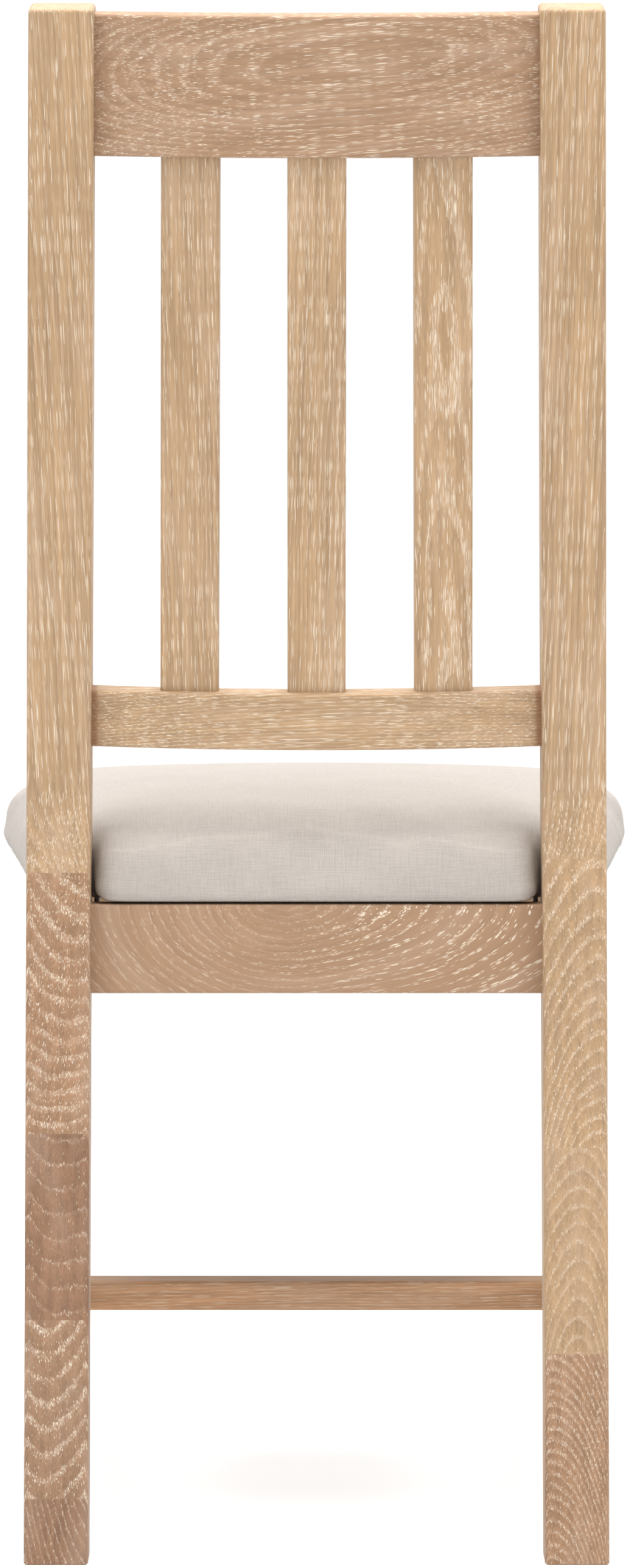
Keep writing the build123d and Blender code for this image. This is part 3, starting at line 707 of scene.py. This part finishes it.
def crown(piece):
    """Domes the top of the cushion."""
    low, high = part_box("seat_cover")
    centre_y = low.y + 0.5 * (high.y - low.y)
    top = CUSHION_LAYERS[-1][0]
    for vertex in piece.data.vertices:
        share = (vertex.co.z - SEAT_BASE_Z) / top
        if share > CROWN_START:
            across = vertex.co.x / high.x
            along = (vertex.co.y - centre_y) / (high.y - centre_y)
            dome = max(0.0, 1 - across**2) * max(0.0, 1 - CROWN_FALL * along**2)
            vertex.co.z += CUSHION_CROWN * dome * (share - CROWN_START) / (1 - CROWN_START)


def inflate(piece):
    """Blows the cushion up as cloth and holds each point within reach of its start."""
    start = [vertex.co.copy() for vertex in piece.data.vertices]
    held = piece.vertex_groups.new(name="held")
    held.add([i for i, place in enumerate(start) if place.z < SEAT_BASE_Z + CUSHION_HELD], 1.0, "REPLACE")
    cloth = piece.modifiers.new("cloth", "CLOTH")
    for name, value in CLOTH.items():
        setattr(cloth.settings, name, value)
    cloth.settings.vertex_group_mass = held.name
    cloth.settings.effector_weights.gravity = 0.0
    scene = bpy.context.scene
    scene.frame_start, scene.frame_end = 1, CUSHION_FRAMES
    cloth.point_cache.frame_start, cloth.point_cache.frame_end = 1, CUSHION_FRAMES
    for number in range(1, CUSHION_FRAMES + 1):
        scene.frame_set(number)
    apply_modifiers(piece)
    for vertex, origin in zip(piece.data.vertices, start):
        move = vertex.co - origin
        if move.length > CUSHION_REACH:
            vertex.co = origin + move.normalized() * CUSHION_REACH
    scene.frame_set(1)


def settle(piece):
    """Keeps the cushion on its frame and off the posts."""
    for vertex in piece.data.vertices:
        co = vertex.co
        co.z = max(co.z, SEAT_BASE_Z + BASE_CLEARANCE)
        into_x = abs(co.x) - (POST_FACE_X - POST_CLEARANCE)
        into_y = co.y - (POST_FRONT_Y - NOTCH_CLEARANCE)
        if into_x > 0 and into_y > 0:
            if into_x < into_y:
                co.x -= into_x if co.x > 0 else -into_x
            else:
                co.y -= into_y


def smooth(piece, times, above=FLOOR_Z):
    """Evens out the part of a piece that is higher than above."""
    bm = bmesh.new()
    bm.from_mesh(piece.data)
    loose = [vertex for vertex in bm.verts if vertex.co.z > above]
    for _ in range(times):
        bmesh.ops.smooth_vert(bm, verts=loose, factor=0.5, use_axis_x=True, use_axis_y=True, use_axis_z=True)
    bm.to_mesh(piece.data)
    bm.free()


def make_cushion():
    piece = cushion_form()
    remesh = piece.modifiers.new("remesh", "REMESH")
    remesh.mode = "VOXEL"
    remesh.voxel_size = VOXEL
    apply_modifiers(piece)
    crown(piece)
    smooth(piece, 2)
    inflate(piece)
    smooth(piece, 2)
    smooth(piece, 10, above=SEAT_BASE_Z + CUSHION_SOFT)
    settle(piece)
    refine = piece.modifiers.new("refine", "SUBSURF")
    refine.levels = refine.render_levels = 1
    apply_modifiers(piece)
    settle(piece)
    piece.data.polygons.foreach_set("use_smooth", [True] * len(piece.data.polygons))
    piece.data.materials.clear()
    piece.data.materials.append(linen("woven_linen"))
    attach(piece, "root")
    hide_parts("seat_cover", "seat_foam")


# ---------------------------------------------------------------- stage, light and camera
FLOOR_HALF_SIDE = 14.0
FLOOR_TONE = 0.6
FLOOR_GLOW = 0.5


def make_stage():
    """A plain pale floor at the feet."""
    mesh = bpy.data.meshes.new("floor")
    corners = [(-1, -1), (1, -1), (1, 1), (-1, 1)]
    places = [(x * FLOOR_HALF_SIDE, y * FLOOR_HALF_SIDE, FLOOR_Z) for x, y in corners]
    mesh.from_pydata(places, [], [(0, 1, 2, 3)])
    floor = bpy.data.objects.new("floor", mesh)
    bpy.context.scene.collection.objects.link(floor)
    material, _, shader = new_material("pale_floor")
    shader.inputs["Base Color"].default_value = (FLOOR_TONE, FLOOR_TONE, FLOOR_TONE, 1)
    shader.inputs["Roughness"].default_value = 0.9
    shader.inputs["Specular IOR Level"].default_value = 0.1
    shader.inputs["Emission Color"].default_value = (1, 1, 1, 1)
    shader.inputs["Emission Strength"].default_value = FLOOR_GLOW
    mesh.materials.append(material)


WORLD_STRENGTH = 1.03
LAMP_COLOUR = (1.0, 0.99, 0.98)
SEAT_MIDDLE = (0, 0, 0.5)
BACK_MIDDLE = (0, POST_REAR_Y, 0.55)
# name, place, aim, side in metres, power in watts
SOFTBOXES = (
    ("overhead", (0, 0.25, 2.9), SEAT_MIDDLE, 2.6, 126),
    ("rear_right", (-2.6, 3.0, 1.5), BACK_MIDDLE, 1.4, 12),
    ("rear_left", (2.6, 3.0, 1.5), BACK_MIDDLE, 1.4, 6),
)


def softbox(name, place, aim, side, power):
    light = bpy.data.lights.new(name, "AREA")
    light.shape = "SQUARE"
    light.size = side
    light.energy = power
    light.color = LAMP_COLOUR
    lamp = bpy.data.objects.new(name, light)
    lamp.location = place
    lamp.rotation_euler = (Vector(aim) - Vector(place)).to_track_quat("-Z", "Y").to_euler()
    bpy.context.scene.collection.objects.link(lamp)


def make_lights():
    world = bpy.data.worlds.new("studio")
    world.use_nodes = True
    background = world.node_tree.nodes["Background"]
    background.inputs["Color"].default_value = (1, 1, 1, 1)
    background.inputs["Strength"].default_value = WORLD_STRENGTH
    bpy.context.scene.world = world
    for settings in SOFTBOXES:
        softbox(*settings)


CAMERA_BACK = 4.0
CAMERA_HEIGHT = 0.85
CAMERA_ASIDE = 0.014
CAMERA_PITCH = radians(2.4)
CAMERA_SENSOR = 36
CAMERA_LENS = 140.73
CAMERA_SHIFT = (0.0127, -0.1697)


def make_camera():
    camera = bpy.data.cameras.new("camera")
    camera.sensor_width = CAMERA_SENSOR
    camera.lens = CAMERA_LENS
    camera.shift_x, camera.shift_y = CAMERA_SHIFT
    holder = bpy.data.objects.new("camera", camera)
    holder.location = (CAMERA_ASIDE, POST_REAR_Y + CAMERA_BACK, FLOOR_Z + CAMERA_HEIGHT)
    holder.rotation_euler = (pi / 2 - CAMERA_PITCH, 0, pi)
    bpy.context.scene.collection.objects.link(holder)
    bpy.context.scene.camera = holder


make_camera()
make_lights()
make_stage()
paint_back()
paint_leg_boards()
paint_seat_frame()
paint_hidden()
make_cushion()
bpy.context.scene.view_settings.view_transform = "Standard"
